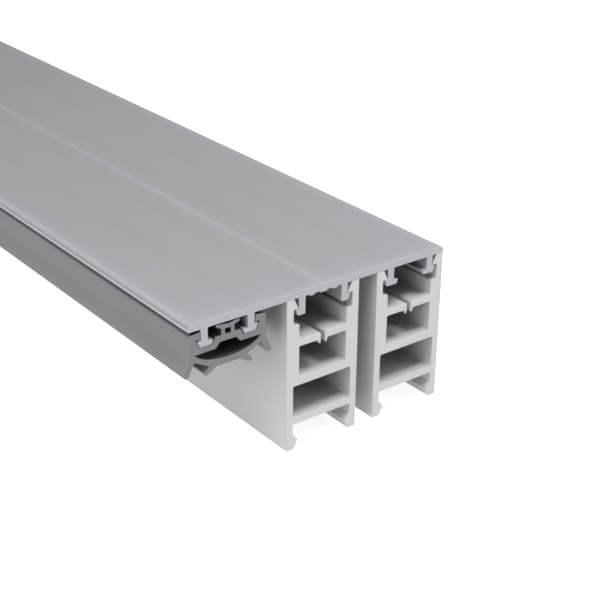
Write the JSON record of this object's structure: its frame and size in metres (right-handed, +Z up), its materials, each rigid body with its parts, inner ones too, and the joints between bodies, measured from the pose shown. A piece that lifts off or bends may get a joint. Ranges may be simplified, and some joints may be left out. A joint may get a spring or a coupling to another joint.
{
  "type": "glazing edge profile",
  "caption": "Long edge joint for roof glazing: a flat cover plate clipped onto hollow spacer legs, with a finned rubber gasket under its free flange.",
  "frame": {"origin": "on the floor, under the middle of the cover's width and of the length", "axes": "+X across the joint, from the glazed side to the outer edge; +Y along the length, away from the cut end that the picture shows; +Z up, from the spacers' soles to the cover"},
  "size_m": [0.061, 2, 0.0335],
  "materials": {
    "cover_aluminium": "satin mill finish",
    "spacer_plastic": "matt rigid PVC",
    "gasket_rubber": "matt grey rubber"
  },
  "bodies": {
    "root": {"cap_profile": "cover_aluminium", "inner_spacer": "spacer_plastic", "outer_spacer": "spacer_plastic", "glazing_gasket": "gasket_rubber"}
  },
  "joints": []
}
